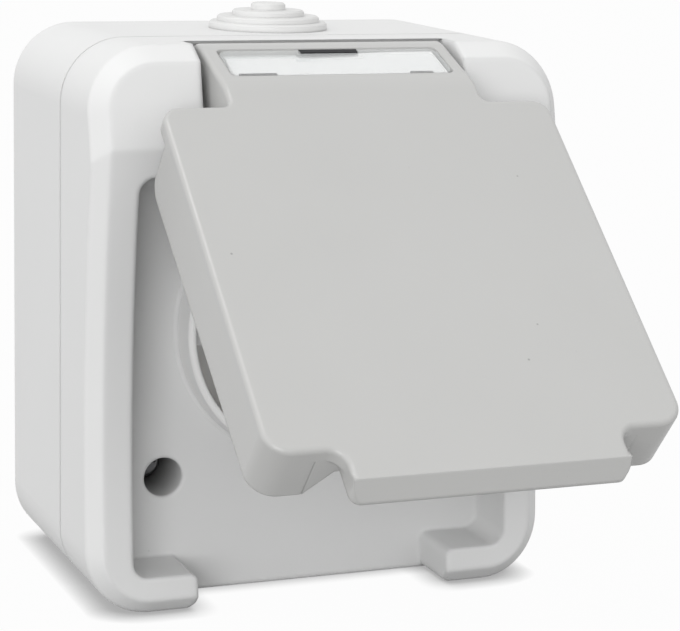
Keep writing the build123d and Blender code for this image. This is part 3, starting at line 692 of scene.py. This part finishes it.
slot_head = window_high[1]
slot_foot = slot_head - SLOT_DROP + STRIP_GAP
# The black sheet in the slot is painted shade: it stands in for the dark depth of the slot.
slot_shade_strip = new_piece(
    "slot_shade_strip",
    *flat_strip(-SLOT_HALF, SLOT_HALF, slot_foot, slot_head, window_high[2] - STRIP_SUNK),
    soft_black,
    "lid",
    "gasket_rubber",
)
thicken(slot_shade_strip, STRIP_WALL)
# The hooks are real pieces; their dark grey is painted shade of the pocket under the cover's foot.
hook_painted_shade = moulded("hook_painted_shade", HOOK_SHADE, cloud=0.2, edge=0.1)
for number, (left, right) in enumerate(HOOK_SPANS):
    hook = new_piece(
        f"foot_hook_{number}",
        *flat_strip(left, right, window_low[1], window_low[1] + HOOK_HEIGHT, window_high[2] - HOOK_SUNK),
        hook_painted_shade,
        "lid",
        "lid_plastic",
    )
    thicken(hook, HOOK_WALL)


# Hinge pins: two stub pins of stainless wire, cropped and tumbled bright. They are pressed into the sides
# of the tongue and turn in bores of the cover.
STAINLESS = (0.60, 0.60, 0.61)
dress(metal("stainless_wire", STAINLESS, stain=0.15, roughness=0.22), "hinge_pins")


# Studio: a pale floor under the socket, a small lamp high on the left that draws the edges, two broad soft
# ones on the left side and low in front, and an even white surround. The camera stands where the photograph
# was taken from.
FLOOR_Z = cad_box[0][2]
CAMERA_AT = Vector((-130.185, -371.156, 73.153)) * MM
CAMERA_AZIMUTH = math.radians(-22.048)
CAMERA_PITCH = math.radians(11.265)
CAMERA_ROLL = math.radians(1.359)
IMAGE_WIDTH, IMAGE_HEIGHT = 680, 631
FOCAL_PIXELS = 2360.06
CENTRE_ROW = 306.17
SENSOR_WIDTH = 36
NEAREST_SEEN = 10 * MM
AIM = (0, -0.04, 0)
FLOOR_BOUNCE = (0.35, 0.35, 0.35)
SHADOW_REACH = 4 * MM
SHADOW_CORE = 0.25
SHADOW_LEVEL = 0.42
SHADOW_RAYS = 16


def add_camera():
    """Camera from its place, azimuth, pitch and roll; focal length and centre row are in pixels."""
    data = bpy.data.cameras.new("photo_camera")
    data.sensor_fit = "HORIZONTAL"
    data.sensor_width = SENSOR_WIDTH
    data.lens = FOCAL_PIXELS / IMAGE_WIDTH * SENSOR_WIDTH
    data.shift_y = (CENTRE_ROW - IMAGE_HEIGHT / 2) / IMAGE_WIDTH
    data.clip_start = NEAREST_SEEN
    forward = Vector((
        -math.sin(CAMERA_AZIMUTH) * math.cos(CAMERA_PITCH),
        math.cos(CAMERA_AZIMUTH) * math.cos(CAMERA_PITCH),
        -math.sin(CAMERA_PITCH),
    ))
    right = Vector((math.cos(CAMERA_AZIMUTH), math.sin(CAMERA_AZIMUTH), 0))
    up = right.cross(forward)
    turned_right = math.cos(CAMERA_ROLL) * right + math.sin(CAMERA_ROLL) * up
    turned_up = math.cos(CAMERA_ROLL) * up - math.sin(CAMERA_ROLL) * right
    axes = Matrix((turned_right, turned_up, -forward)).transposed()
    camera = bpy.data.objects.new("photo_camera", data)
    camera.matrix_world = Matrix.Translation(CAMERA_AT) @ axes.to_4x4()
    bpy.context.scene.collection.objects.link(camera)
    bpy.context.scene.camera = camera


def add_lamp(name, at, size, power):
    """Square soft lamp at a place, facing the socket; sizes in metres, power in watts."""
    data = bpy.data.lights.new(name, "AREA")
    data.shape = "SQUARE"
    data.size = size
    data.energy = power
    lamp = bpy.data.objects.new(name, data)
    lamp.location = at
    lamp.rotation_euler = (Vector(AIM) - Vector(at)).to_track_quat("-Z", "Y").to_euler()
    bpy.context.scene.collection.objects.link(lamp)


def seen_directly(tree):
    """Mask that is 1 where a ray comes from the camera, a glossy surface or a clear one."""
    path = add_node(tree, "ShaderNodeLightPath", (-900, 300))
    first = add_node(tree, "ShaderNodeMath", (-700, 300), operation="MAXIMUM")
    both = add_node(tree, "ShaderNodeMath", (-500, 300), operation="MAXIMUM")
    link_all(
        tree,
        (path.outputs["Is Camera Ray"], first.inputs[0]),
        (path.outputs["Is Glossy Ray"], first.inputs[1]),
        (first.outputs[0], both.inputs[0]),
        (path.outputs["Is Transmission Ray"], both.inputs[1]),
    )
    return both.outputs[0]


def add_surround(strength):
    """World that lights evenly with a strength and shows white behind the object."""
    world = bpy.data.worlds.new("surround")
    bpy.context.scene.world = world
    world.use_nodes = True
    tree = world.node_tree
    background = tree.nodes["Background"]
    level = add_node(tree, "ShaderNodeMapRange", (-250, 300))
    level.inputs["To Min"].default_value = strength
    level.inputs["To Max"].default_value = 1.0
    tree.links.new(seen_directly(tree), level.inputs["Value"])
    tree.links.new(level.outputs["Result"], background.inputs["Strength"])
    background.inputs["Color"].default_value = (1, 1, 1, 1)


def add_floor(size, white):
    """Pale floor: matt for the light that it bounces, and white where it is seen, but for the soft shadow
    close under the socket, which follows how far the floor is covered within the shadow's reach."""
    half = size / 2
    corners = [(x, y, FLOOR_Z) for x, y in ((-half, -half), (half, -half), (half, half), (-half, half))]
    mesh = bpy.data.meshes.new("floor")
    mesh.from_pydata(corners, [], [(0, 1, 2, 3)])
    floor = bpy.data.objects.new("floor", mesh)
    bpy.context.scene.collection.objects.link(floor)
    material = bpy.data.materials.new("floor_white")
    material.use_nodes = True
    tree = material.node_tree
    tree.nodes.clear()
    output = add_node(tree, "ShaderNodeOutputMaterial", (400, 0))
    matt = add_node(tree, "ShaderNodeBsdfDiffuse", (-100, 0))
    matt.inputs["Color"].default_value = (*FLOOR_BOUNCE, 1)
    cover = add_node(tree, "ShaderNodeAmbientOcclusion", (-500, -200), samples=SHADOW_RAYS)
    cover.inputs["Distance"].default_value = SHADOW_REACH
    shadow = add_node(tree, "ShaderNodeMapRange", (-300, -200))
    shadow.inputs["From Min"].default_value = SHADOW_CORE
    shadow.inputs["To Min"].default_value = SHADOW_LEVEL
    glow = add_node(tree, "ShaderNodeEmission", (-100, -200))
    share = add_node(tree, "ShaderNodeMath", (-300, 300), operation="MULTIPLY")
    share.inputs[1].default_value = white
    mix = add_node(tree, "ShaderNodeMixShader", (150, 0))
    link_all(
        tree,
        (cover.outputs["AO"], shadow.inputs["Value"]),
        (shadow.outputs["Result"], glow.inputs["Strength"]),
        (seen_directly(tree), share.inputs[0]),
        (share.outputs[0], mix.inputs["Fac"]),
        (matt.outputs[0], mix.inputs[1]),
        (glow.outputs[0], mix.inputs[2]),
        (mix.outputs[0], output.inputs["Surface"]),
    )
    mesh.materials.append(material)


add_camera()
add_surround(strength=0.93)
add_floor(size=6.0, white=0.97)
add_lamp("key", at=(-0.5, 0.02, 1.05), size=0.15, power=2.1)
add_lamp("left", at=(-1.2, -0.3, 0.35), size=0.7, power=0.8)
add_lamp("low_left", at=(-0.65, -1.1, 0.15), size=0.7, power=7.9)
bpy.context.scene.view_settings.view_transform = "Standard"
